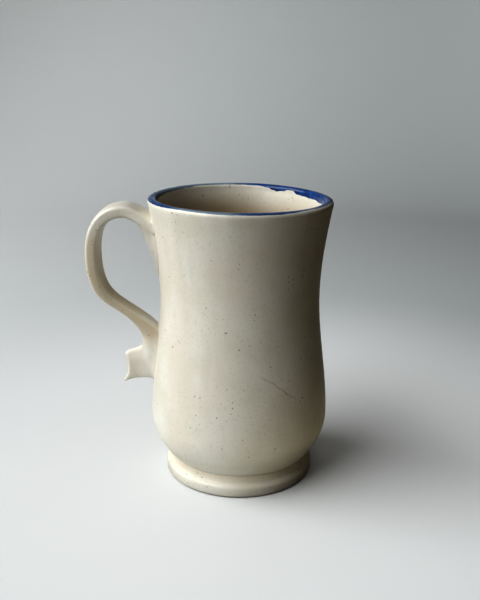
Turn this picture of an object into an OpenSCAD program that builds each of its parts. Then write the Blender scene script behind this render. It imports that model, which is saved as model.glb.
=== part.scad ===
// Hand-thrown stoneware mug: a baluster body on a flared foot, a pulled strap handle
// that ends in a fishtail, and a cobalt glaze cap on the lip.
// The mug stands on z = 0 with its axis on Z, and the handle points along -X.

/* [Body] */
// Height from the table to the top of the lip
mug_h = 130; // [124:1:140]
// Outside diameter at the lip
lip_d = 82; // [78:1:88]
// Outside diameter at the waist, where the wall is narrowest
waist_d = 72.6; // [69:0.2:75]
// Height of the waist above the table
waist_z = 86; // [80:1:92]
// How much wider the belly is than the lip
belly_over = 0; // [-4:0.5:4]
// Height of the belly above the table
belly_z = 29; // [26:1:33]
// Thickness of the thrown wall and of the lip
wall_t = 4; // [3.2:0.1:4.8]
// Thickness of the floor
floor_t = 5; // [4:0.5:7]
// Diameter of the flat part of the floor
floor_d = 37; // [30:1:46]

/* [Foot] */
// Height of the foot, from the table to the crease under the belly
foot_h = 9.8; // [9:0.2:12]
// Outside diameter of the foot
foot_d = 69; // [67:0.5:72]
// Diameter at the crease between the foot and the belly
crease_d = 64.6; // [62:0.2:66]
// Width of the ring that touches the table
foot_ring_w = 6.5; // [5:0.5:8]
// Height of the full side, up to the middle of the bead
bead_z = 4.1; // [3:0.1:4.6]
// Radius of the bead
bead_r = 2.2; // [1.6:0.1:2.8]
// Radius of the edge at the table
foot_edge = 0.6; // [0.4:0.1:1]

/* [Handle] */
// Reach of the handle beyond the lip
handle_reach = 28.1; // [26.1:0.2:30.1]
// Width of the strap at its upper root
strap_w = 16; // [14:0.5:18]
// Thickness of the strap at its upper root
strap_t = 5.8; // [5:0.2:6.6]
// Width of the strap at the elbow
arm_w = 12.5; // [11:0.5:14]
// Thickness of the strap at the elbow
arm_t = 4.9; // [4.3:0.2:5.5]
// Width of the strap where it lands on the wall
landing_w = 12; // [10.5:0.5:13.5]
// Thickness of the strap where it lands on the wall
landing_t = 8; // [7:0.2:9]
// Depth of the strap's crown below the top of the lip
crown_drop = 3; // [2:0.5:4]
// Reach of the crown beyond the lip
crown_reach = 10.5; // [9.5:0.5:11.5]
// Depth of the strap's upper root below the top of the lip
root_drop = 13; // [12:0.5:15]
// Depth of the outermost point below the top of the lip
bow_drop = 26; // [24:0.5:28]
// Depth of the elbow, where the strap turns back to the wall
elbow_drop = 51; // [49:0.5:53]
// Reach of the elbow beyond the lip
elbow_reach = 12; // [10:0.5:14]
// Depth of the landing below the top of the lip
landing_drop = 66; // [64:1:68]
// Length of the clay wedge under the upper root
wedge_len = 27.5; // [24:0.5:30]
// Length of the fillet over the landing
fillet_len = 6; // [5:0.5:7]

/* [Tail] */
// Reach of the fishtail's points from the wall
tail_reach = 13.4; // [12:0.2:15]
// Height between the two points
tail_h = 13; // [12:0.2:14]
// Depth of the fishtail's middle below the landing
tail_drop = 14.6; // [13.6:0.2:15.6]
// Width of the fishtail at its end
tail_w = 7; // [6:0.5:8.5]
// Width where it was pinched, just behind the end
pinch_w = 5.6; // [4.8:0.2:6.4]
// Depth of the hollow between the two points
tail_hollow = 2.6; // [1.8:0.2:3.4]

/* [Glaze] */
// Thickness of the cobalt glaze on the lip
glaze_t = 0.4; // [0.3:0.05:0.6]
// How far the cobalt runs down the inside of the lip
glaze_run = 2.6; // [2:0.2:4]

/* [Hidden] */
$fn = 200;
cream = "#E4DCCB";
cobalt = "#24407C";

lip_r = lip_d / 2;
waist_r = waist_d / 2;
belly_r = (lip_d + belly_over) / 2;
crease_r = crease_d / 2;
foot_r = foot_d / 2;
lip_round = wall_t / 2;
lip_z = mug_h - lip_round;
floor_z = foot_h + floor_t;

// Steps along a stretch of the wall, round the lip, along a stretch of the strap and round it
wall_steps = 10;
lip_steps = 12;
sweep_steps = 10;
section_sides = 24;

function mix(a, b, t) = a + (b - a) * t;
function ease(t) = t * t * (3 - 2 * t);

// Outside radius of the wall: a parabola under the belly, an easy curve in to the waist
// and a parabola out to the lip
function wall_r(z) =
    z < belly_z ? mix(belly_r, crease_r, pow((belly_z - z) / (belly_z - foot_h), 2)) :
    z < waist_z ? mix(belly_r, waist_r, ease((z - belly_z) / (waist_z - belly_z))) :
    mix(waist_r, lip_r, pow((z - waist_z) / (lip_z - waist_z), 2));
function inside_r(z) = wall_r(z) - wall_t;

// Values from a to b in equal steps, without a itself
function steps_to(a, b, steps) = [for (i = [1:steps]) mix(a, b, i / steps)];

// Points of an arc, with its angles in degrees
function arc(centre, r, from, to, steps) =
    [for (i = [0:steps]) let (a = mix(from, to, i / steps)) centre + r * [cos(a), sin(a)]];

wall_heights = concat([foot_h], steps_to(foot_h, belly_z, wall_steps),
    steps_to(belly_z, waist_z, wall_steps), steps_to(waist_z, lip_z, wall_steps));
outside = [for (z = wall_heights) [wall_r(z), z]];

// The whole outside as one solid, which trims the pieces that lie on the wall
module wall_solid() {
    rotate_extrude()
        polygon(concat([[0, foot_h]], outside, [[0, lip_z]]));
}

// Middle of the lip's round edge, the angle where its cobalt starts outside and the height
// where it ends inside
lip_mid = [lip_r - lip_round, lip_z];
cobalt_from = 25;
cobalt_foot_z = lip_z - glaze_run;
cobalt_seat = [inside_r(cobalt_foot_z) + glaze_t, cobalt_foot_z];

inside_heights = concat([cobalt_foot_z], steps_to(cobalt_foot_z, waist_z, wall_steps),
    steps_to(waist_z, belly_z, wall_steps));
inside = [for (z = inside_heights) [inside_r(z), z]];

// The inside rounds from the belly into the flat of the floor
floor_round = [for (a = steps_to(0, 90, wall_steps))
    [mix(floor_d / 2, inside_r(belly_z), cos(a)), mix(belly_z, floor_z, sin(a))]];

module body() {
    lip_outer = [for (a = steps_to(0, cobalt_from, 2)) lip_mid + lip_round * [cos(a), sin(a)]];
    lip_seat = arc(lip_mid, lip_round - glaze_t, cobalt_from, 180, lip_steps);
    color(cream)
        rotate_extrude()
            polygon(concat([[0, foot_h]], outside, lip_outer, lip_seat, [cobalt_seat], inside,
                floor_round, [[0, floor_z]]));
}

module rim_band() {
    top = arc(lip_mid, lip_round, cobalt_from, 180, lip_steps);
    under = arc(lip_mid, lip_round - glaze_t, 180, cobalt_from, lip_steps);
    color(cobalt)
        rotate_extrude()
            polygon(concat(top, [inside[0], cobalt_seat], under));
}

// The foot's inner side leans in by this much, and its cove starts at this angle of the bead
foot_lean = 1.5;
bead_turn = 60;
cove_steps = 8;

module foot_ring() {
    table_r = foot_r - foot_edge;
    side = arc([table_r, foot_edge], foot_edge, -90, 0, 4);
    bead = arc([foot_r - bead_r, bead_z], bead_r, 0, bead_turn, 6);
    cove_from = bead[len(bead) - 1];
    cove_to = [crease_r, foot_h];
    cove_bend = [crease_r, cove_from[1]];
    cove = [for (t = steps_to(0, 1, cove_steps))
        mix(mix(cove_from, cove_bend, t), mix(cove_bend, cove_to, t), t)];
    color(cream)
        rotate_extrude()
            polygon(concat([[table_r - foot_ring_w, 0]], side, bead, cove,
                [[table_r - foot_ring_w - foot_lean, foot_h]]));
}

// Curve between two stations, each a point and the pull of the curve there
function along(a, b, t) =
    (2 * t * t * t - 3 * t * t + 1) * a[0] + (t * t * t - 2 * t * t + t) * a[1]
    + (3 * t * t - 2 * t * t * t) * b[0] + (t * t * t - t * t) * b[1];

// Points of the curve through a list of stations
function chain(stations, steps) = [
    for (i = [0:len(stations) - 2])
        for (k = [(i == 0 ? 0 : 1):steps])
            along(stations[i], stations[i + 1], k / steps)];

// Oval ring between two points a and b of the plane y = 0, of a given width across that plane.
// A roundness below 1 fills its corners, and a taper makes it narrower at a than at b.
function oval(a, b, width, roundness, taper) = [
    for (k = [0:section_sides - 1])
        let (
            turn = 360 * k / section_sides,
            across = sign(cos(turn)) * pow(abs(cos(turn)), roundness),
            side = sign(sin(turn)) * pow(abs(sin(turn)), roundness) * (1 - taper * cos(turn)),
            p = (a + b) / 2 + (a - b) / 2 * across)
        [p[0], side * width / 2, p[1]]];

// Solid through a list of rings, closed at both ends by strips that run straight across
module sweep(rings) {
    n = len(rings[0]);
    last = (len(rings) - 1) * n;
    sides = [for (j = [0:len(rings) - 2]) for (k = [0:n - 1]) let (m = (k + 1) % n)
        each [[j * n + k, (j + 1) * n + k, j * n + m], [j * n + m, (j + 1) * n + k, (j + 1) * n + m]]];
    cap = concat([[1, 0, n - 1]], [for (k = [1:n / 2 - 2]) [k, n - k, n - k - 1, k + 1]],
        [[n / 2 - 1, n / 2 + 1, n / 2]]);
    start = [for (f = cap) [for (i = [len(f) - 1:-1:0]) f[i]]];
    end = [for (f = cap) [for (i = f) last + i]];
    polyhedron(points = [for (ring = rings) each ring], faces = concat(sides, start, end), convexity = 6);
}

// Stations of the strap's middle line, as x and z, with the pull of the line at each
root_bury = 2;
landing_press = 0.8;
root_pull = [-13.3, 4.2];
crown_pull = [-15.5, 0];
bow_pull = [0, -53];
elbow_pull = [18.7, -13.1];
landing_pull = [0, -13.8];
root_z = mug_h - root_drop;
landing_z = mug_h - landing_drop;
landing_x = wall_r(landing_z) + landing_t / 2 - landing_press;
strap_line = chain([
    [[root_bury - wall_r(root_z), root_z], root_pull],
    [[-lip_r - crown_reach, mug_h - crown_drop - strap_t / 2], crown_pull],
    [[strap_t / 2 - lip_r - handle_reach, mug_h - bow_drop], bow_pull],
    [[-lip_r - elbow_reach, mug_h - elbow_drop], elbow_pull],
    [[-landing_x, landing_z], landing_pull]], sweep_steps);
strap_thick = [strap_t, strap_t, strap_t, arm_t, landing_t];
strap_wide = [strap_w, strap_w, strap_w, arm_w, landing_w];

// The strap was pulled flat with soft corners, the arm is rounder, and the landing narrows
// away from the wall
strap_round = [0.55, 0.5, 0.5, 0.85, 0.75];
landing_taper = 0.3;
strap_taper = [0, 0, 0, 0, landing_taper];

// Value at ring i of a sweep, eased between the values at its stations
function at_ring(values, i) = let (s = min(floor(i / sweep_steps), len(values) - 2))
    mix(values[s], values[s + 1], ease(i / sweep_steps - s));

module strap() {
    n = len(strap_line) - 1;
    rings = [for (i = [0:n]) let (
        way = i == n ? landing_pull : strap_line[i + 1] - strap_line[max(i - 1, 0)],
        out = [way[1], -way[0]] / norm(way) * at_ring(strap_thick, i) / 2)
        oval(strap_line[i] + out, strap_line[i] - out, at_ring(strap_wide, i),
            at_ring(strap_round, i), at_ring(strap_taper, i))];
    sweep(rings);
}

module handle() {
    color(cream)
        difference() {
            strap();
            wall_solid();
        }
}

// Two edges of the fishtail: the upper one turns out at a shoulder, and the lower one follows
// the wall down to a heel and then turns out
shoulder = [-1.8, -4.4];
heel_drop = 18.8;
heel_bury = 0.7;
point_lead = 0.9;
upper_pulls = [[0, -5.3], [-6.4, -3.3], [0.5, -5.5]];
lower_pulls = [[0, -18], [-2, -6.5], [-24, -11]];
tail_z = landing_z - tail_drop;
tail_x = wall_r(tail_z) + tail_reach;
heel_z = landing_z - heel_drop;
landing_face = [-landing_x - landing_t / 2, landing_z];
upper_edge = chain([
    [landing_face, upper_pulls[0]],
    [landing_face + shoulder, upper_pulls[1]],
    [[-tail_x, tail_z + tail_h / 2], upper_pulls[2]]], sweep_steps);
lower_edge = chain([
    [landing_face + [landing_t, 0], lower_pulls[0]],
    [[heel_bury - wall_r(heel_z), heel_z], lower_pulls[1]],
    [[-tail_x - point_lead, tail_z - tail_h / 2], lower_pulls[2]]], sweep_steps);

// Width of the fishtail at a share of its length, down to the pinch and out to the end
pinch_at = 0.8;
function tail_wide(t) = t < pinch_at ? mix(landing_w, pinch_w, ease(t / pinch_at)) :
    mix(pinch_w, tail_w, ease((t - pinch_at) / (1 - pinch_at)));

// Point p of the fishtail moved towards the wall by the hollow, which deepens over its outer half
function hollowed(p, outer) = let (rise = min(1, abs(p[2] - tail_z) / (tail_h / 2)))
    p + [tail_hollow * pow(max(outer, 0), 3) * (1 - rise * rise), 0, 0];

// Roundness and taper of the fishtail at its landing, its shoulder and its end
tail_round = [0.75, 0.75, 0.8];
tail_taper = [landing_taper, landing_taper, 0];
module handle_tail() {
    n = len(upper_edge) - 1;
    rings = [for (i = [0:n])
        oval(upper_edge[i], lower_edge[i], tail_wide(i / n),
            at_ring(tail_round, i), at_ring(tail_taper, i))];
    color(cream)
        difference() {
            sweep([for (i = [0:n]) [for (p = rings[i]) hollowed(p, 2 * i / n - 1)]]);
            wall_solid();
        }
}

// Leaf of clay on the wall: half ovals from a thin end to a thick end that lies in the strap.
// Each end is its height, its step out from the wall, the pull of the ridge and the width.
leaf_steps = 10;
leaf_round = 0.85;
leaf_taper = 0.2;
module leaf(thin, thick) {
    ridge = chain([for (e = [thin, thick]) [[-wall_r(e[0]) - e[1], e[0]], e[2]]], leaf_steps);
    rings = [for (i = [0:leaf_steps]) let (
        k = thin[0] > thick[0] ? i : leaf_steps - i,
        p = ridge[k],
        wall = [-wall_r(p[1]), p[1]])
        oval(p, 2 * wall - p, mix(thin[3], thick[3], k / leaf_steps), leaf_round, leaf_taper)];
    sweep(rings);
}

// The wedge under the strap's root, from a thin low end to a thick one
wedge_rise = 2.5;
wedge_thin_out = 0.85;
wedge_thin_w = 8;
wedge_thin_pull = [-7.5, 17.2];
wedge_thick_out = 7.1;
wedge_thick_w = 15;
wedge_thick_pull = [-21.5, 28.9];
module upper_join() {
    thick_z = root_z + wedge_rise;
    color(cream)
        difference() {
            leaf([thick_z - wedge_len, wedge_thin_out, wedge_thin_pull, wedge_thin_w],
                [thick_z, wedge_thick_out, wedge_thick_pull, wedge_thick_w]);
            wall_solid();
            strap();
        }
}

// The fillet over the strap's landing, from a thin upper end to a thick one
fillet_rise = 2.4;
fillet_thin_out = 0.4;
fillet_thin_w = 3.6;
fillet_thin_pull = [0, -3];
fillet_thick_out = 2.2;
fillet_thick_w = 9;
fillet_thick_pull = [-2, -2.5];
module lower_join() {
    thick_z = landing_z + fillet_rise;
    color(cream)
        difference() {
            leaf([thick_z + fillet_len, fillet_thin_out, fillet_thin_pull, fillet_thin_w],
                [thick_z, fillet_thick_out, fillet_thick_pull, fillet_thick_w]);
            wall_solid();
            strap();
        }
}

body();
foot_ring();
rim_band();
handle();
handle_tail();
upper_join();
lower_join();
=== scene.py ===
import math

import bmesh
import bpy
from mathutils import Matrix, Vector, noise


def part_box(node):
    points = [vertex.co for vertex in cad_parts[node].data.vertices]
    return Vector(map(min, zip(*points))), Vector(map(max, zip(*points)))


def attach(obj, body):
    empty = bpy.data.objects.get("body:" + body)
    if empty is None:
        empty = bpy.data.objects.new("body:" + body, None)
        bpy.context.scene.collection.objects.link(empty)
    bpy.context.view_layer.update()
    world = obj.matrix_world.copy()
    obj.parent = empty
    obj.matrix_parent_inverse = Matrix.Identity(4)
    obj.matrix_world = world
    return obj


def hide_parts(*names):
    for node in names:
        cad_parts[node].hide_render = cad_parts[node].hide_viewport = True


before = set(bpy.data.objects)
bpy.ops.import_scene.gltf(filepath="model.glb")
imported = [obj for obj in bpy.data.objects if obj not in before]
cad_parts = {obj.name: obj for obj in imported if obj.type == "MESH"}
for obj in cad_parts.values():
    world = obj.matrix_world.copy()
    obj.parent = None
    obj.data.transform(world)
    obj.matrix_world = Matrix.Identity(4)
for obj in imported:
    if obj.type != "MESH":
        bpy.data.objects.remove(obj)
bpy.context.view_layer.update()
mm = 0.001  # the shapes below are worked out in millimetres
print("frame loaded:", ", ".join(sorted(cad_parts)))


def mix(a, b, t):
    return a + (b - a) * t


def ease(t):
    t = min(max(t, 0.0), 1.0)
    return t * t * (3 - 2 * t)


def steps(start, end, count):  # values from start to end, without the start
    return [mix(start, end, (i + 1) / count) for i in range(count)]


def linear(hexColour):  # sRGB hex to linear RGBA
    channels = [int(hexColour[i:i + 2], 16) / 255 for i in (1, 3, 5)]
    return [c / 12.92 if c <= 0.04045 else ((c + 0.055) / 1.055) ** 2.4 for c in channels] + [1.0]


def readAt(rows, where):  # eased value between rows of (place, value), which rise by place
    for (a, low), (b, high) in zip(rows, rows[1:]):
        if where <= b:
            return mix(low, high, ease((where - a) / (b - a)))
    return rows[-1][1]


def makePiece(name, bm, material, slotName, *nodes):  # bmesh in millimetres to a finished piece
    bmesh.ops.scale(bm, vec=(mm, mm, mm), verts=bm.verts)
    mesh = bpy.data.meshes.new(name)
    bm.to_mesh(mesh)
    bm.free()
    mesh.shade_smooth()
    mesh.materials.append(material)
    piece = bpy.data.objects.new(name, mesh)
    bpy.context.scene.collection.objects.link(piece)
    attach(piece, "root")
    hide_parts(*nodes)
    print(name, "has", len(mesh.polygons), "faces")
    return piece


def spinOutline(outline, count):  # turns a line of (radius, height) once round Z
    bm = bmesh.new()
    verts = [bm.verts.new((r, 0, z)) for r, z in outline]
    edges = [bm.edges.new(pair) for pair in zip(verts, verts[1:])]
    bmesh.ops.spin(bm, geom=verts + edges, axis=(0, 0, 1), cent=(0, 0, 0), steps=count,
                   angle=2 * math.pi, use_merge=True)
    bmesh.ops.remove_doubles(bm, verts=bm.verts, dist=0.001)
    bmesh.ops.recalc_face_normals(bm, faces=bm.faces)
    return bm


# camera at the photograph's viewing angle
view = {"place": (0.27, -358.6, 190.9), "pitch": 16.84, "yaw": 0.028, "roll": 0.349, "lens": 49.0}
cameraData = bpy.data.cameras.new("photoView")
cameraData.sensor_fit = "VERTICAL"
cameraData.sensor_height = 36
cameraData.lens = view["lens"]
cameraData.clip_start = 0.01
camera = bpy.data.objects.new("photoView", cameraData)
bpy.context.scene.collection.objects.link(camera)
camera.matrix_world = (Matrix.Translation(Vector(view["place"]) * mm)
                       @ Matrix.Rotation(math.radians(view["yaw"]), 4, "Z")
                       @ Matrix.Rotation(math.radians(90 - view["pitch"]), 4, "X")
                       @ Matrix.Rotation(math.radians(view["roll"]), 4, "Z"))
bpy.context.scene.camera = camera
print("camera set")


# materials
def addNode(owner, kind, inputs={}, **settings):  # each input is a value, or an output that feeds it
    node = owner.node_tree.nodes.new(kind)
    for key, value in settings.items():
        setattr(node, key, value)
    for key, value in inputs.items():
        if isinstance(value, bpy.types.NodeSocket):
            owner.node_tree.links.new(value, node.inputs[key])
        else:
            node.inputs[key].default_value = value
    return node.outputs


def perMetre(sizeMm):  # texture scale for a pattern of this size
    return 1 / (sizeMm * mm)


creamLook = {
    # thin is the tan of glaze that runs thin, which on the handle is partly and in the foot's cove wholly
    # painted shade; inside is the brown painted shade inside the mug
    "pale": "#E2E0D6", "tan": "#DCD9CC", "blush": "#DDD3C7", "smoke": "#CFCEC3", "thin": "#C6B492",
    "inside": "#8A7349", "clay": "#B7A489", "iron": "#54402F", "rust": "#8E6445",
    # noises: size in millimetres, shift, detail, how many times taller than wide
    "noises": {"patch": (17, 0, 4, 1), "blush": (12, 0.31, 2, 5), "smoke": (8, 0.17, 3, 5),
               "grain": (1.1, 0, 2, 1), "gather": (20, 0.43, 2, 1), "tremble": (0.25, 0, 2, 1),
               "wander": (5, 0.11, 2, 1), "peel": (2.6, 0, 2, 1)},
    # washes over the pale glaze: noise, ink, where in the noise they start and are full, most
    "washes": [("patch", "tan", 0.38, 0.68, 1), ("blush", "blush", 0.48, 0.72, 0.45),
               ("smoke", "smoke", 0.53, 0.78, 0.4), ("grain", "smoke", 0.5, 0.8, 0.6)],
    # specks: cell in millimetres, widest in cells, share of cells without one, deepest, ink
    "specks": [(2.3, 0.17, 0.53, 0.75, "iron"), (1.3, 0.18, 0.57, 0.5, "iron"),
               (5.6, 0.1, 0.36, 0.85, "rust")],
    "luck": 0.75, "gatherFrom": 0.3, "gatherTo": 0.7, "gatherMost": 0.5, "trembleMm": 0.25,
    "softPart": 3, "faintest": 0.35, "bareBelow": 0.5, "sheen": (0.28, 0.4), "ior": 1.5,
    "peel": 0.12, "peelMm": 0.4,
    # scar: its ends on the wall, how wide it is and how far in or out of the wall it still shows
    "scarFrom": (8.6, -37.4, 60.4), "scarTo": (25.2, -31, 47), "scarWide": 0.8, "scarReach": 5,
    "scarWander": 2.4, "scarEnds": 0.12, "scarFade": 0.8, "scarShade": 0.16, "scar": 0.3, "scarMm": 0.3,
}


def satinCreamGlaze(look):
    # satin cream glaze, dipped over speckled stoneware and fired: the glaze pools paler, and
    # blushes and smokes grey in soft upright runs, iron in the clay bleeds through as brown pin
    # specks, a faint orange peel keeps highlights soft, and the wiped foot shows bare clay
    mat = bpy.data.materials.new("satinCreamGlazedStoneware")
    mat.use_nodes = True
    shader = mat.node_tree.nodes["Principled BSDF"]
    place = addNode(mat, "ShaderNodeTexCoord")["Object"]
    noises = {}
    for name, (sizeMm, shift, detail, tall) in look["noises"].items():
        moved = addNode(mat, "ShaderNodeMapping", {"Vector": place, "Location": [shift] * 3,
                                                   "Scale": (1, 1, 1 / tall)})
        noises[name] = addNode(mat, "ShaderNodeTexNoise", {
            "Vector": moved["Vector"], "Scale": perMetre(sizeMm), "Detail": detail})

    colour = linear(look["pale"])
    for name, ink, low, high, most in look["washes"]:
        cover = addNode(mat, "ShaderNodeMapRange", {
            "Value": noises[name]["Fac"], "From Min": low, "From Max": high, "To Max": most},
            interpolation_type="SMOOTHSTEP")
        colour = addNode(mat, "ShaderNodeMix", {0: cover["Result"], 6: colour, 7: linear(look[ink])},
                         data_type="RGBA")[2]
    # tan and brown laid by two layers of the pieces: thin glaze with painted shade, and the painted shade
    # inside the mug
    for layer, ink in (("thinGlazeAndShade", "thin"), ("insideShade", "inside")):
        cover = addNode(mat, "ShaderNodeAttribute", attribute_name=layer)
        colour = addNode(mat, "ShaderNodeMix", {0: cover["Fac"], 6: colour, 7: linear(look[ink])},
                         data_type="RGBA")[2]

    # iron specks: each cell has at most one, they gather in places, and their edges tremble
    gather = addNode(mat, "ShaderNodeMapRange", {
        "Value": noises["gather"]["Fac"], "From Min": look["gatherFrom"], "From Max": look["gatherTo"],
        "To Max": look["gatherMost"]}, interpolation_type="SMOOTHSTEP")
    tremble = addNode(mat, "ShaderNodeVectorMath", {
        0: noises["tremble"]["Color"], 1: [look["trembleMm"] * mm] * 3, 2: place}, operation="MULTIPLY_ADD")
    for cellMm, widest, empty, deepest, ink in look["specks"]:
        cells = addNode(mat, "ShaderNodeTexVoronoi", {
            "Vector": tremble["Vector"], "Scale": perMetre(cellMm)})
        lot = addNode(mat, "ShaderNodeSeparateColor", {"Color": cells["Color"]})
        luck = addNode(mat, "ShaderNodeMath", {0: lot["Red"], 1: look["luck"], 2: gather["Result"]},
                       operation="MULTIPLY_ADD")
        radius = addNode(mat, "ShaderNodeMapRange", {
            "Value": luck["Value"], "From Min": empty, "From Max": 1, "To Max": widest},
            interpolation_type="SMOOTHSTEP")
        within = addNode(mat, "ShaderNodeMath", {0: radius["Result"], 1: cells["Distance"]},
                         operation="SUBTRACT")
        soft = addNode(mat, "ShaderNodeMapRange", {
            "Value": within["Value"], "From Min": 0, "From Max": widest / look["softPart"],
            "To Max": deepest}, interpolation_type="SMOOTHSTEP")
        fade = addNode(mat, "ShaderNodeMath", {
            0: lot["Green"], 1: 1 - look["faintest"], 2: look["faintest"]}, operation="MULTIPLY_ADD")
        depth = addNode(mat, "ShaderNodeMath", {0: soft["Result"], 1: fade["Value"]}, operation="MULTIPLY")
        colour = addNode(mat, "ShaderNodeMix", {0: depth["Value"], 6: colour, 7: linear(look[ink])},
                         data_type="RGBA")[2]
    height = addNode(mat, "ShaderNodeSeparateXYZ", {"Vector": place})["Z"]
    bare = addNode(mat, "ShaderNodeMapRange", {
        "Value": height, "From Min": look["bareBelow"] * mm, "From Max": 0},
        interpolation_type="SMOOTHSTEP")
    colour = addNode(mat, "ShaderNodeMix", {0: bare["Result"], 6: colour, 7: linear(look["clay"])},
                     data_type="RGBA")[2]

    # a shallow scar across the wall: its own axes run along it, across it and out of the wall
    start, end = Vector(look["scarFrom"]) * mm, Vector(look["scarTo"]) * mm
    way = (end - start).normalized()
    out = Vector((start.x + end.x, start.y + end.y, 0)).normalized()
    out = (out - way * out.dot(way)).normalized()
    turned = Matrix((way, out.cross(way), out)).transposed().to_euler()
    scar = addNode(mat, "ShaderNodeMapping", {
        "Vector": place, "Location": start, "Rotation": turned,
        "Scale": ((end - start).length, look["scarWide"] * mm, look["scarReach"] * mm)},
        vector_type="TEXTURE")
    axes = addNode(mat, "ShaderNodeSeparateXYZ", {"Vector": scar["Vector"]})
    wander = addNode(mat, "ShaderNodeMath", {
        0: noises["wander"]["Fac"], 1: look["scarWander"], 2: -look["scarWander"] / 2},
        operation="MULTIPLY_ADD")
    across = addNode(mat, "ShaderNodeMath", {0: axes["Y"], 1: wander["Value"]}, operation="ADD")
    across = addNode(mat, "ShaderNodeMath", {0: across["Value"]}, operation="ABSOLUTE")
    left = addNode(mat, "ShaderNodeMath", {0: 1, 1: axes["X"]}, operation="SUBTRACT")
    span = addNode(mat, "ShaderNodeMath", {0: axes["X"], 1: left["Value"]}, operation="MULTIPLY")
    aside = addNode(mat, "ShaderNodeMath", {0: axes["Z"]}, operation="ABSOLUTE")
    groove = 1
    for value, low, high in ((across, 1, 0), (span, 0, look["scarEnds"]), (aside, 1, look["scarFade"])):
        edge = addNode(mat, "ShaderNodeMapRange", {
            "Value": value["Value"], "From Min": low, "From Max": high}, interpolation_type="SMOOTHSTEP")
        groove = addNode(mat, "ShaderNodeMath", {0: groove, 1: edge["Result"]},
                         operation="MULTIPLY")["Value"]
    # the groove is painted darker with the iron brown: painted shade in the crease
    grooveShade = addNode(mat, "ShaderNodeMapRange", {"Value": groove, "To Max": look["scarShade"]},
                    interpolation_type="SMOOTHSTEP")
    colour = addNode(mat, "ShaderNodeMix", {0: grooveShade["Result"], 6: colour, 7: linear(look["iron"])},
                     data_type="RGBA")[2]
    mat.node_tree.links.new(colour, shader.inputs["Base Color"])

    low, high = look["sheen"]
    sheen = addNode(mat, "ShaderNodeMapRange", {
        "Value": noises["patch"]["Fac"], "To Min": low, "To Max": high})
    rough = addNode(mat, "ShaderNodeMath", {0: sheen["Result"], 1: bare["Result"]}, operation="MAXIMUM")
    mat.node_tree.links.new(rough["Value"], shader.inputs["Roughness"])
    peel = addNode(mat, "ShaderNodeBump", {
        "Height": noises["peel"]["Fac"], "Strength": look["peel"], "Distance": look["peelMm"] * mm})
    bump = addNode(mat, "ShaderNodeBump", {
        "Height": groove, "Normal": peel["Normal"], "Strength": look["scar"],
        "Distance": look["scarMm"] * mm}, invert=True)
    mat.node_tree.links.new(bump["Normal"], shader.inputs["Normal"])
    shader.inputs["IOR"].default_value = look["ior"]
    return mat


cobaltLook = {
    "deep": "#0F356C", "mid": "#1E5290", "thin": "#86989F", "cloudMm": 3.2, "cloudDetail": 3,
    "midFrom": 0.4, "midTo": 0.7, "gloss": (0.14, 0.28), "peelSizeMm": 1.8, "peel": 0.15, "peelMm": 0.3,
    "ior": 1.52, "specular": 0.35,
}


def glossCobaltGlaze(look):
    # cobalt brushed on the lip over the cream and fired glossy: deep blue where it lies thick, lighter
    # clouds where the brush dragged, slate grey where it broke away, on the back left partly painted
    # reflection
    mat = bpy.data.materials.new("glossCobaltGlaze")
    mat.use_nodes = True
    shader = mat.node_tree.nodes["Principled BSDF"]
    place = addNode(mat, "ShaderNodeTexCoord")["Object"]
    cloud = addNode(mat, "ShaderNodeTexNoise", {
        "Vector": place, "Scale": perMetre(look["cloudMm"]), "Detail": look["cloudDetail"]})
    dragged = addNode(mat, "ShaderNodeMapRange", {
        "Value": cloud["Fac"], "From Min": look["midFrom"], "From Max": look["midTo"]})
    blue = addNode(mat, "ShaderNodeMix", {
        0: dragged["Result"], 6: linear(look["deep"]), 7: linear(look["mid"])}, data_type="RGBA")
    wornAndSheen = addNode(mat, "ShaderNodeAttribute", attribute_name="wornAndSheenGlaze")
    colour = addNode(mat, "ShaderNodeMix", {0: wornAndSheen["Fac"], 6: blue[2], 7: linear(look["thin"])},
                     data_type="RGBA")
    mat.node_tree.links.new(colour[2], shader.inputs["Base Color"])
    low, high = look["gloss"]
    gloss = addNode(mat, "ShaderNodeMapRange", {"Value": cloud["Fac"], "To Min": low, "To Max": high})
    mat.node_tree.links.new(gloss["Result"], shader.inputs["Roughness"])
    peel = addNode(mat, "ShaderNodeTexNoise", {"Vector": place, "Scale": perMetre(look["peelSizeMm"])})
    bump = addNode(mat, "ShaderNodeBump", {
        "Height": peel["Fac"], "Strength": look["peel"], "Distance": look["peelMm"] * mm})
    mat.node_tree.links.new(bump["Normal"], shader.inputs["Normal"])
    shader.inputs["IOR"].default_value = look["ior"]
    shader.inputs["Specular IOR Level"].default_value = look["specular"]
    return mat


creamGlaze = satinCreamGlaze(creamLook)
cobaltGlaze = glossCobaltGlaze(cobaltLook)
print("glazes mixed")


# the thrown wall, whose outline follows the solids
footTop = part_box("foot_ring")[1].z / mm
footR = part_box("foot_ring")[1].x / mm
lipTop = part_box("rim_band")[1].z / mm
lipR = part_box("body")[1].x / mm
wall = {
    "thick": 4, "waistR": 36.3, "waistZ": 86, "bellyR": lipR, "bellyZ": 29, "creaseR": 32.3,
    # inside and the fade after it: the painted shade inside the mug, its strength and the millimetres it
    # takes to grow below the lip, on the left and on the right
    "floorR": 18.5, "floorThick": 5, "lipSquare": 0.85, "inside": 0.85, "insideShadeFade": (8, 24), "turns": 240,
    "cuts": {"under": 10, "outside": 84, "lip": 16, "inside": 54, "corner": 14, "floor": 24},
    # how far the form wanders, with its waves round the mug and its millimetres up it
    "lean": 0.53, "steadyBelow": 20, "wander": 0.14, "wanderWaves": 1.4, "wanderTall": 30,
    "run": 0.3, "runWaves": 5, "runTall": 45, "lipRise": 0.35, "lipWaves": 1.2, "lipSeed": 5.3,
    "ripple": 0.03, "rippleMm": 4.7, "spiral": 0.14, "spiralFade": 4,
}
lipZ = lipTop - wall["thick"] / 2
lipMid = lipR - wall["thick"] / 2


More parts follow.
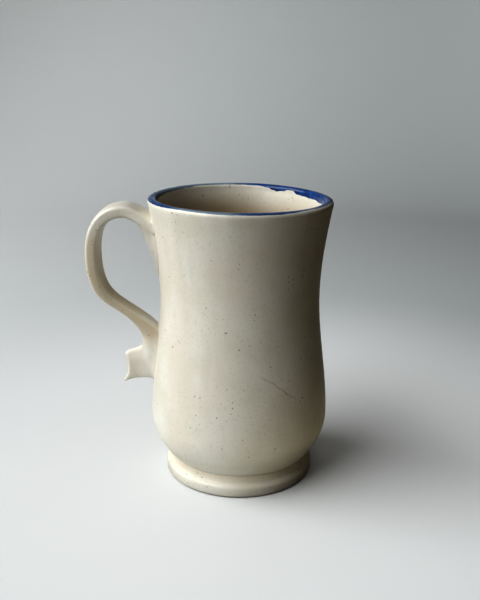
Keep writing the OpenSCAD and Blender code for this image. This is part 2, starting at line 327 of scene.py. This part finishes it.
def wallR(z):  # outside radius: under the belly, in to the waist, and out to the lip
    if z < wall["bellyZ"]:
        drop = (wall["bellyZ"] - z) / (wall["bellyZ"] - footTop)
        return mix(wall["bellyR"], wall["creaseR"], drop ** 2)
    if z < wall["waistZ"]:
        rise = (z - wall["bellyZ"]) / (wall["waistZ"] - wall["bellyZ"])
        return mix(wall["bellyR"], wall["waistR"], ease(rise))
    return mix(wall["waistR"], lipR, ((z - wall["waistZ"]) / (lipZ - wall["waistZ"])) ** 2)


def power(value, exponent):  # keeps the sign
    return math.copysign(abs(value) ** exponent, value)


def lipPoint(degrees):  # round the lip: 0 outside, 90 on top, 180 inside
    half = wall["thick"] / 2
    a = math.radians(degrees)
    return (lipMid + half * power(math.cos(a), wall["lipSquare"]),
            lipZ + half * power(math.sin(a), wall["lipSquare"]))


def drift(turn, waves, height):  # noise that closes on itself round the mug
    return noise.noise(Vector((turn.x * waves, turn.y * waves, height)))


def handThrown(co):  # the small wander of a thrown form, strongest at the lip
    turn = co.xy.normalized() if co.xy.length > 1 else Vector((0, 0))
    top = ease((co.z - wall["waistZ"]) / (lipTop - wall["waistZ"]))
    low = min(co.z / wall["steadyBelow"], 1)
    wander = drift(turn, wall["wanderWaves"], co.z / wall["wanderTall"]) * wall["wander"]
    coil = co.z / wall["rippleMm"] + math.atan2(co.y, co.x) / (2 * math.pi)
    wander += math.sin(coil * 2 * math.pi) * wall["ripple"] * low
    run = drift(turn, wall["runWaves"], co.z / wall["runTall"])  # glaze that ran from the lip
    wander += ease(run) * wall["run"] * ease((co.z - wall["bellyZ"]) / wall["waistZ"])
    rise = -co.x * math.tan(math.radians(wall["lean"])) * top
    rise += drift(turn, wall["lipWaves"], wall["lipSeed"]) * wall["lipRise"] * top
    return Vector((co.x + turn.x * wander * low, co.y + turn.y * wander * low, co.z + rise))


floorZ = footTop + wall["floorThick"]
innerBelly = wall["bellyR"] - wall["thick"]
cuts = wall["cuts"]
outline = [(0, footTop)] + [(r, footTop) for r in steps(0, wall["creaseR"], cuts["under"])]
outline += [(wallR(z), z) for z in steps(footTop, lipZ, cuts["outside"])]
outline += [lipPoint(a) for a in steps(0, 180, cuts["lip"])]
outline += [(wallR(z) - wall["thick"], z) for z in steps(lipZ, wall["bellyZ"], cuts["inside"])]
outline += [(mix(wall["floorR"], innerBelly, math.cos(a)), mix(wall["bellyZ"], floorZ, math.sin(a)))
            for a in steps(0, math.pi / 2, cuts["corner"])]
outline += [(r, floorZ) for r in steps(wall["floorR"], 0, cuts["floor"])]
bm = spinOutline(outline, wall["turns"])
for v in bm.verts:
    reach = v.co.xy.length
    if v.co.z > floorZ - 0.01 and reach < wall["floorR"]:  # the spiral that fingers leave on the floor
        coil = reach / wall["rippleMm"] + math.atan2(v.co.y, v.co.x) / (2 * math.pi)
        swell = min(reach, wall["floorR"] - reach) / wall["spiralFade"]
        v.co.z += math.sin(coil * 2 * math.pi) * wall["spiral"] * swell
    v.co = handThrown(v.co)
insideShadeLayer = bm.verts.layers.float.new("insideShade")
for v in bm.verts:  # painted shade inside the mug: brown, growing down from the lip, and sooner on the left
    if v.co.xy.length < wallR(v.co.z) - wall["thick"] / 2 and v.co.z > floorZ - 1:
        fade = mix(*wall["insideShadeFade"], 0.5 + 0.5 * v.co.x / lipR)
        v[insideShadeLayer] = wall["inside"] * ease((lipTop - v.co.z) / fade)
makePiece("thrownWall", bm, creamGlaze, "cream_glaze", "body")


# the foot: a ring with a soft bead, a cove up to the crease, and a bare edge on the table
foot = {
    "ringW": 6.5, "lean": 1.5, "beadZ": 4.1, "beadR": 2.2, "beadTurn": 60, "edge": 1.2, "tuck": 0.7,
    # thin: how strongly the cove is tinted tan, as painted shade under the belly
    "thin": 0.36, "cuts": {"under": 6, "edge": 5, "bead": 8, "cove": 10, "hollow": 8},
}
cuts = foot["cuts"]
tableR = footR - foot["edge"]
hollowR = tableR - foot["ringW"]
footLine = [(r, 0) for r in [hollowR] + steps(hollowR, tableR, cuts["under"])]
footLine += [(tableR + foot["edge"] * math.sin(a), foot["edge"] * (1 - math.cos(a)))
             for a in steps(0, math.pi / 2, cuts["edge"])]
footLine += [(footR - foot["beadR"] * (1 - math.cos(a)), foot["beadZ"] + foot["beadR"] * math.sin(a))
             for a in [0] + steps(0, math.radians(foot["beadTurn"]), cuts["bead"])]
coveStart = Vector(footLine[-1])
coveBend = Vector((wall["creaseR"], coveStart.y))
coveEnd = Vector((wall["creaseR"], footTop))
footLine += [tuple(coveStart.lerp(coveBend, t).lerp(coveBend.lerp(coveEnd, t), t))
             for t in steps(0, 1, cuts["cove"])]
tuckZ = footTop + foot["tuck"]  # reaches up into the wall
innerTop = hollowR - foot["lean"]
footLine += [(wall["creaseR"] - foot["tuck"], tuckZ), (innerTop, tuckZ)]
footLine += [(mix(innerTop, hollowR, t), mix(tuckZ, 0, t)) for t in steps(0, 1, cuts["hollow"])]
bm = spinOutline(footLine, wall["turns"])
thinAndShadeLayer = bm.verts.layers.float.new("thinGlazeAndShade")
for v in bm.verts:  # painted shade: the cove is tinted tan, most up under the belly at the crease
    v[thinAndShadeLayer] = foot["thin"] * ease((v.co.z - foot["beadZ"]) / (footTop - foot["beadZ"]))
    v.co = handThrown(v.co)
makePiece("trimmedFoot", bm, creamGlaze, "cream_glaze", "foot_ring")


# the cobalt on the lip: where it starts outside, in degrees round the lip, how far it runs down
# inside, in millimetres, and how much wear it shows, on the back left partly painted reflection, all by the
# angle round the mug from +X
cobalt = {
    "lift": 0.13, "tuck": 0.05, "thick": 0.25, "across": 14, "turns": 480, "shoulder": 5,
    # the tear of its edges: waves round the mug, seed and strength, then how far it moves each edge
    "tears": [(16, 2.1, 1), (38, 7.7, 0.6)], "tearOutside": 0.12, "tearInside": 0.2,
    "starts": [(-180, 16), (-150, 24), (-125, 42), (-95, 34), (-70, 31), (-45, 57), (-20, 50), (0, 32),
               (60, 40), (90, 60), (104, 70), (118, 72), (128, 50), (150, 30), (180, 16)],
    "runs": [(-180, 0.7), (-150, 0.4), (-125, -0.8), (-95, -0.6), (-60, -0.2), (-30, 0.6), (0, 1.6),
             (16, 1.9), (20, 1.4), (28, 1.4), (37, 1.3), (44, 1.0), (48.5, -0.5), (52, -0.4), (57, 0.5),
             (62, 1.0), (65, 0.5), (70, -0.5), (80, -1.2), (100, -1.5), (118, -1.6), (125, -1.5),
             (130, -1.0), (140, -0.7), (155, -0.4), (168, 0.1), (180, 0.7)],
    "wornAndSheen": [(-180, 0), (-140, 0.05), (-122, 0.75), (-98, 0.7), (-86, 0.1), (-58, 0.15), (-40, 0.5),
             (-22, 0.15), (0, 0), (75, 0), (90, 0.3), (100, 0.85), (120, 0.7), (145, 0.6), (165, 0.4),
             (175, 0.1), (180, 0)],
}
quarter = math.pi * wall["thick"] / 4  # from the top of the lip to its inside


def lipPath(s):  # point and outward way at s millimetres past the top of the lip, towards the inside
    if s <= quarter:
        a = 90 + 90 * s / quarter
        return lipPoint(a), (math.cos(math.radians(a)), math.sin(math.radians(a)))
    z = lipZ - (s - quarter)
    return (wallR(z) - wall["thick"], z), (-1, 0)


bm = spinOutline([(lipMid, t) for t in [0] + steps(0, 1, cobalt["across"])], cobalt["turns"])
wornAndSheenLayer = bm.verts.layers.float.new("wornAndSheenGlaze")
for v in bm.verts:  # a plain tube so far, whose height is the way across the band
    angle = math.degrees(math.atan2(v.co.y, v.co.x))
    inwards = v.co.z
    turn = Vector((math.cos(math.radians(angle)), math.sin(math.radians(angle))))
    tear = sum(strength * drift(turn, waves, seed) for waves, seed, strength in cobalt["tears"])
    first = (readAt(cobalt["starts"], angle) / 90 - 1) * quarter + tear * cobalt["tearOutside"]
    last = quarter + readAt(cobalt["runs"], angle) + tear * cobalt["tearInside"]
    (r, z), (outR, outZ) = lipPath(mix(first, last, inwards))
    lift = cobalt["lift"] * (1 - abs(2 * inwards - 1) ** cobalt["shoulder"]) - cobalt["tuck"]
    skin = handThrown(Vector((turn.x * r, turn.y * r, z)))
    v.co = skin + Vector((turn.x * outR, turn.y * outR, outZ)) * lift
    v[wornAndSheenLayer] = readAt(cobalt["wornAndSheen"], angle)
bmesh.ops.recalc_face_normals(bm, faces=bm.faces)
bmesh.ops.solidify(bm, geom=bm.faces[:], thickness=cobalt["thick"])
bmesh.ops.recalc_face_normals(bm, faces=bm.faces)
makePiece("cobaltLip", bm, cobaltGlaze, "cobalt_glaze", "rim_band")


# the pulled handle: a strap, the wedge under its root, the fillet over its landing and the
# fishtail, laid into one another and then melted into one skin as wet clay is
handle = {
    "sides": 40, "stretch": 14, "voxel": 0.36, "rootDrop": 13, "rootBury": 2, "crownDrop": 3,
    "crownReach": 10.5, "bowDrop": 26, "bowReach": 28.1, "elbowDrop": 51, "elbowReach": 12,
    "landingDrop": 66, "landingPress": 2.3,
    # at the root, the crown, the bow, the elbow and the landing
    "pulls": [(-13.3, 4.2), (-15.5, 0), (0, -53), (18.7, -13.1), (0, -13.8)],
    "thick": [6.0, 5.8, 5.8, 4.9, 9.5], "wide": [18.5, 16, 16, 12.5, 12],
    "square": [0.5, 0.42, 0.42, 0.85, 0.75], "taper": [0, 0, 0, 0, 0.3],
    # rubs over all of it, and more over the root; then how far it feathers out, by height
    "smooth": 3, "rub": 0.5, "blend": 22, "blendLow": 92, "blendHigh": 119, "blendOut": 52,
    "flare": [(0, 0.8), (75, 0.8), (95, 2), (112, 2), (119, 0.5), (123, 0), (140, 0)], "flareReach": 3.2,
    # thin glaze and painted shade by height, and where they start: off the wall, and on faces that turn
    # away
    "thinGlazeAndShade": [(0, 0), (59, 0), (69, 0.6), (76, 0.6), (92, 0.55), (108, 0.45), (119, 0), (140, 0)],
    "thinAndShadeFrom": 8, "thinAndShadeTurn": 0.3, "thinAndShadeSpan": 0.5,
}


def along(a, b, t):  # curve between two stations of (point, pull)
    return ((2 * t ** 3 - 3 * t ** 2 + 1) * a[0] + (t ** 3 - 2 * t ** 2 + t) * a[1]
            + (3 * t ** 2 - 2 * t ** 3) * b[0] + (t ** 3 - t ** 2) * b[1])


def chain(stations, count):
    line = [stations[0][0]]
    for a, b in zip(stations, stations[1:]):
        line += [along(a, b, t) for t in steps(0, 1, count)]
    return line


def flat(x, z):  # a point of the plane that the handle lies in
    return Vector((x, 0, z))


def ring(bm, top, under, wide, square, taper=0):  # one loop of the clay between two points of that plane
    loop = bmesh.ops.create_circle(bm, radius=1, segments=handle["sides"])["verts"]
    for v in loop:
        across, side = power(v.co.x, square), power(v.co.y, square) * (1 - taper * v.co.x)
        v.co = (top + under) / 2 + (top - under) / 2 * across + Vector((0, side * wide / 2, 0))
    return loop


def loopEdges(loop):
    return list(dict.fromkeys(e for v in loop for e in v.link_edges if e.other_vert(v) in loop))


def sweep(bm, loops):  # skin through the loops, closed at both ends
    rims = [loopEdges(loop) for loop in loops]
    for a, b in zip(rims, rims[1:]):
        bmesh.ops.bridge_loops(bm, edges=a + b)
    for end in (rims[0], rims[-1]):
        bmesh.ops.contextual_create(bm, geom=end)


def eased(values, i):  # value at ring i, eased between the values at the stations
    s = min(i // handle["stretch"], len(values) - 2)
    return mix(values[s], values[s + 1], ease(i / handle["stretch"] - s))


rootZ = lipTop - handle["rootDrop"]
landingZ = lipTop - handle["landingDrop"]
landingThick = handle["thick"][-1]
landingX = wallR(landingZ) + landingThick / 2 - handle["landingPress"]
points = [flat(handle["rootBury"] - wallR(rootZ), rootZ),
          flat(-lipR - handle["crownReach"], lipTop - handle["crownDrop"] - handle["thick"][1] / 2),
          flat(-lipR - handle["bowReach"] + handle["thick"][2] / 2, lipTop - handle["bowDrop"]),
          flat(-lipR - handle["elbowReach"], lipTop - handle["elbowDrop"]),
          flat(-landingX, landingZ)]
line = chain([(p, flat(*pull)) for p, pull in zip(points, handle["pulls"])], handle["stretch"])
bm = bmesh.new()
loops = []
for i, p in enumerate(line):
    way = line[min(i + 1, len(line) - 1)] - line[max(i - 1, 0)]
    if i == len(line) - 1:
        way = flat(*handle["pulls"][-1])
    out = flat(way.z, -way.x).normalized() * eased(handle["thick"], i) / 2
    loops.append(ring(bm, p + out, p - out, eased(handle["wide"], i), eased(handle["square"], i),
                      eased(handle["taper"], i)))
sweep(bm, loops)

# the fishtail, pinched thin between finger and thumb behind its end, which is hollowed
# between its two points
tail = {
    "drop": 14.6, "reach": 13.8, "high": 13.6, "hollow": 2.5, "heelDrop": 18.8, "heelBury": 2, "lead": 1.2,
    "shoulder": (-1.8, -4.4), "upperPulls": [(0, -5.3), (-6.4, -3.3), (0.5, -5.5)],
    "lowerPulls": [(0, -18), (-2, -6.5), (-24, -11)],
    "wide": [(0, 12), (0.8, 5.6), (1, 6.6)], "square": [0.75, 0.75, 0.6], "taper": [0.3, 0.5, 0.5],
    "slit": 0.3,
}
tailZ = landingZ - tail["drop"]
tailX = wallR(tailZ) + tail["reach"]
heelZ = landingZ - tail["heelDrop"]
face = flat(-landingX - landingThick / 2, landingZ)
upperPoints = [face, face + flat(*tail["shoulder"]), flat(-tailX, tailZ + tail["high"] / 2)]
lowerPoints = [face + flat(landingThick, 0), flat(tail["heelBury"] - wallR(heelZ), heelZ),
               flat(-tailX - tail["lead"], tailZ - tail["high"] / 2)]
upper = chain([(p, flat(*pull)) for p, pull in zip(upperPoints, tail["upperPulls"])], handle["stretch"])
lower = chain([(p, flat(*pull)) for p, pull in zip(lowerPoints, tail["lowerPulls"])], handle["stretch"])
loops = []
for i, (a, b) in enumerate(zip(upper, lower)):
    loops.append(ring(bm, a, b, readAt(tail["wide"], i / (len(upper) - 1)), eased(tail["square"], i),
                      eased(tail["taper"], i)))
loops.append(ring(bm, a, b, tail["slit"], tail["square"][-1]))  # closes the end straight across
for i, loop in enumerate(loops):
    late = min(max(i / handle["stretch"] - 1, 0), 1)
    for v in loop:
        rise = min(max((v.co.z - tailZ) / (tail["high"] / 2), -1), 1)
        v.co.x += tail["hollow"] * late ** 3 * (1 - rise ** 2)
sweep(bm, loops)

# leaves of clay on the wall: two ends with height, step out from the wall and pull of the ridge,
# then rows of width by the share of the way between them
leaves = {
    "wedge": {"ends": [(rootZ - 24, 0.3, (-6.5, 15.5)), (rootZ + 2.5, 7.6, (-23, 28.9))],
              "wide": [(0, 3), (0.7, 16), (1, 17.4)], "square": 0.62, "taper": 0.06},
    "fillet": {"ends": [(landingZ + 8.4, 0.1, (0, -3)), (landingZ + 2.4, 1.4, (-2, -2.5))],
               "wide": [(0, 3.6), (1, 9)], "square": 0.75, "taper": 0.3},
}
for leaf in leaves.values():
    ends = [(flat(-wallR(z) - out, z), flat(*pull)) for z, out, pull in leaf["ends"]]
    sweep(bm, [ring(bm, p, flat(handle["rootBury"] - wallR(p.z), p.z),
                    readAt(leaf["wide"], i / handle["stretch"]), leaf["square"], leaf["taper"])
               for i, p in enumerate(chain(ends, handle["stretch"]))])
bmesh.ops.recalc_face_normals(bm, faces=bm.faces)

# melt the four into one skin, on a scratch object that is deleted
wetMesh = bpy.data.meshes.new("wetClay")
bm.to_mesh(wetMesh)
bm.free()
wetClay = bpy.data.objects.new("wetClay", wetMesh)
bpy.context.scene.collection.objects.link(wetClay)
remesh = wetClay.modifiers.new("melt", "REMESH")
remesh.mode = "VOXEL"
remesh.voxel_size = handle["voxel"]
melted = bpy.data.meshes.new_from_object(wetClay.evaluated_get(bpy.context.evaluated_depsgraph_get()))
bm = bmesh.new()
bm.from_mesh(melted)
bpy.data.objects.remove(wetClay)
bpy.data.meshes.remove(wetMesh)
bpy.data.meshes.remove(melted)


def rub(verts, times):  # a damp thumb over the clay
    for turn in range(times):
        bmesh.ops.smooth_vert(bm, verts=verts, factor=handle["rub"], use_axis_x=True, use_axis_y=True,
                              use_axis_z=True)


rub(bm.verts[:], handle["smooth"])
rub([v for v in bm.verts if handle["blendLow"] < v.co.z < handle["blendHigh"]
     and v.co.x > -handle["blendOut"]], handle["blend"])
bm.normal_update()
for v in bm.verts:  # the clay feathers out where it was smoothed onto the wall
    turn = v.co.xy.normalized()
    off = (v.co.xy.length - wallR(v.co.z)) / handle["flareReach"]
    if off < 1:
        outward = Vector((turn.x, turn.y, 0))
        sideways = v.normal - outward * v.normal.dot(outward)
        v.co += sideways * readAt(handle["flare"], v.co.z) * (1 - max(off, 0)) ** 3
bmesh.ops.recalc_face_normals(bm, faces=bm.faces)
bm.normal_update()
thinAndShadeLayer = bm.verts.layers.float.new("thinGlazeAndShade")
gapMiddle = flat(-lipR - handle["elbowReach"], lipTop - handle["bowDrop"])
for v in bm.verts:  # tan on the sides and the inside of the strap and at its landing, not on the wedge: partly glaze that ran thin, partly painted shade
    inward = v.normal.dot((gapMiddle - v.co).normalized())
    clear = max(ease((v.co.xy.length - wallR(v.co.z)) / handle["thinAndShadeFrom"] - 1),
                ease((gapMiddle.z - v.co.z) / handle["thinAndShadeFrom"]))
    turned = ease((max(abs(v.normal.y), inward) - handle["thinAndShadeTurn"]) / handle["thinAndShadeSpan"])
    v[thinAndShadeLayer] = readAt(handle["thinGlazeAndShade"], v.co.z) * clear * turned
makePiece("pulledHandle", bm, creamGlaze, "cream_glaze",
          "handle", "handle_tail", "upper_join", "lower_join")


# the studio, in metres: a plain pale floor that sweeps up all round, a large soft light on the left,
# and a small one overhead that falls on the floor alone and lifts the mug's shadow
studio = {
    "radius": 1.0, "cove": 0.35, "turns": 96, "floorCuts": 4, "coveCuts": 16, "matt": 0.8,
    "pale": "#DDE0E1", "lit": "#D5D9DA", "unlit": "#ABB0B2", "warm": "#DFD6B8", "bounce": "#382F1C",
    "dim": "#282010", "gloss": 0.3, "ringShift": (-0.01, 0.05, 0.018),
    # shares of the board: along x, y, out from the middle or away from the foot, start, full, most
    "shares": {"far": ("out", 0.1, 0.32, 1), "lit": ("x", 0.32, -0.32, 1), "warm": ("x", -0.02, 0.05, 1),
               "mirrorAcross": ("x", 0.25, 0, 1), "mirrorBehind": ("y", 0, 0.3, 1),
               "ringIn": ("away", 0.036, 0.042, 1), "ringOut": ("away", 0.155, 0.074, 1),
               "ringLeft": ("x", 0.03, -0.01, 0.2), "ringRight": ("x", 0.13, 0.05, 1),
               "left": ("x", 0.02, -0.12, 0.5)},
    "softLight": {"place": (-1.575, -0.567, 1.315), "wide": 2.73, "high": 2.31, "watts": 101},
    "floorLight": {"place": (0.05, 0, 0.45), "wide": 0.4, "high": 0.4, "watts": 0.48},
    "aim": (0, 0, 0.2),
}


def mattPaintedBoard(look):
    # matt painted board, pale near the mug and, far off, a shade greyer and painted darker from left to
    # right, painted falloff of the light: the camera sees it as it is, but it gives back less light than it
    # shows, save on the left, in a warm ring round the foot and where the glaze mirrors it from behind, so
    # that the dark side of the mug stays dark
    mat = bpy.data.materials.new("mattPaintedBoard")
    mat.use_nodes = True
    shader = mat.node_tree.nodes["Principled BSDF"]
    place = addNode(mat, "ShaderNodeTexCoord")["Object"]
    axes = addNode(mat, "ShaderNodeSeparateXYZ", {"Vector": place})
    far = addNode(mat, "ShaderNodeVectorMath", {0: place}, operation="LENGTH")["Value"]
    start, full, most = look["ringShift"]
    shift = addNode(mat, "ShaderNodeMapRange", {
        "Value": axes["X"], "From Min": start, "From Max": full, "To Max": most},
        interpolation_type="SMOOTHSTEP")
    away = addNode(mat, "ShaderNodeMath", {0: far, 1: shift["Result"]}, operation="SUBTRACT")["Value"]
    ways = {"x": axes["X"], "y": axes["Y"], "out": far, "away": away}
    shares = {}
    for name, (way, start, full, most) in look["shares"].items():
        shares[name] = addNode(mat, "ShaderNodeMapRange", {
            "Value": ways[way], "From Min": start, "From Max": full, "To Max": most},
            interpolation_type="SMOOTHSTEP")["Result"]

    ray = addNode(mat, "ShaderNodeLightPath")
    mirrored = ray["Is Glossy Ray"]
    for name in ("mirrorAcross", "mirrorBehind"):
        mirrored = addNode(mat, "ShaderNodeMath", {0: mirrored, 1: shares[name]},
                           operation="MULTIPLY")["Value"]
    seen = addNode(mat, "ShaderNodeMath", {0: ray["Is Camera Ray"], 1: mirrored}, operation="MAXIMUM")
    giving = shares["ringIn"]
    for operation, name in (("MAXIMUM", "ringLeft"), ("MULTIPLY", "ringOut"), ("MULTIPLY", "ringRight"),
                            ("MAXIMUM", "left")):
        giving = addNode(mat, "ShaderNodeMath", {0: giving, 1: shares[name]}, operation=operation)["Value"]

    backdrop = addNode(mat, "ShaderNodeMix", {
        0: shares["lit"], 6: linear(look["unlit"]), 7: linear(look["lit"])}, data_type="RGBA")
    colour = addNode(mat, "ShaderNodeMix", {0: shares["far"], 6: linear(look["pale"]), 7: backdrop[2]},
                     data_type="RGBA")
    warmed = addNode(mat, "ShaderNodeMix", {0: shares["warm"], 6: colour[2], 7: linear(look["warm"])},
                     data_type="RGBA")
    given = addNode(mat, "ShaderNodeMix", {0: giving, 6: linear(look["bounce"]), 7: warmed[2]},
                    data_type="RGBA")
    shown = addNode(mat, "ShaderNodeMix", {0: seen["Value"], 6: given[2], 7: colour[2]}, data_type="RGBA")
    mat.node_tree.links.new(shown[2], shader.inputs["Base Color"])
    shader.inputs["Roughness"].default_value = look["matt"]
    return mat


coveR = studio["radius"] - studio["cove"]
sweepLine = [(r, 0) for r in [0] + steps(0, coveR, studio["floorCuts"])]
sweepLine += [(studio["radius"] - studio["cove"] * (1 - math.sin(a)), studio["cove"] * (1 - math.cos(a)))
              for a in steps(0, math.pi / 2, studio["coveCuts"])]
bm = spinOutline(sweepLine, studio["turns"])
sweepMesh = bpy.data.meshes.new("paleSweep")
bm.to_mesh(sweepMesh)
bm.free()
sweepMesh.shade_smooth()
sweepMesh.materials.append(mattPaintedBoard(studio))
paleSweep = bpy.data.objects.new("paleSweep", sweepMesh)
bpy.context.scene.collection.objects.link(paleSweep)


def addLight(name):  # shines straight down until it is turned
    look = studio[name]
    light = bpy.data.lights.new(name, "AREA")
    light.shape = "RECTANGLE"
    light.size = look["wide"]
    light.size_y = look["high"]
    light.energy = look["watts"]
    lamp = bpy.data.objects.new(name, light)
    bpy.context.scene.collection.objects.link(lamp)
    lamp.location = look["place"]
    lamp.visible_camera = False
    return lamp


softLight = addLight("softLight")
aimed = Vector(studio["aim"]) - Vector(studio["softLight"]["place"])
softLight.rotation_euler = aimed.to_track_quat("-Z", "Y").to_euler()
floorLight = addLight("floorLight")
floorLight.light_linking.receiver_collection = bpy.data.collections.new("floorAlone")
floorLight.light_linking.receiver_collection.objects.link(paleSweep)
world = bpy.data.worlds.new("dimStudio")
bpy.context.scene.world = world
world.use_nodes = True
ray = addNode(world, "ShaderNodeLightPath")
shown = addNode(world, "ShaderNodeMath", {
    0: ray["Is Glossy Ray"], 1: studio["gloss"], 2: ray["Is Camera Ray"]}, operation="MULTIPLY_ADD")
around = addNode(world, "ShaderNodeMix", {
    0: shown["Value"], 6: linear(studio["dim"]), 7: linear(studio["lit"])}, data_type="RGBA")
world.node_tree.links.new(around[2], world.node_tree.nodes["Background"].inputs["Color"])
bpy.context.scene.view_settings.view_transform = "Standard"
bpy.context.scene.view_settings.gamma = 0.75  # the photograph's deep shadows
print("studio lit")
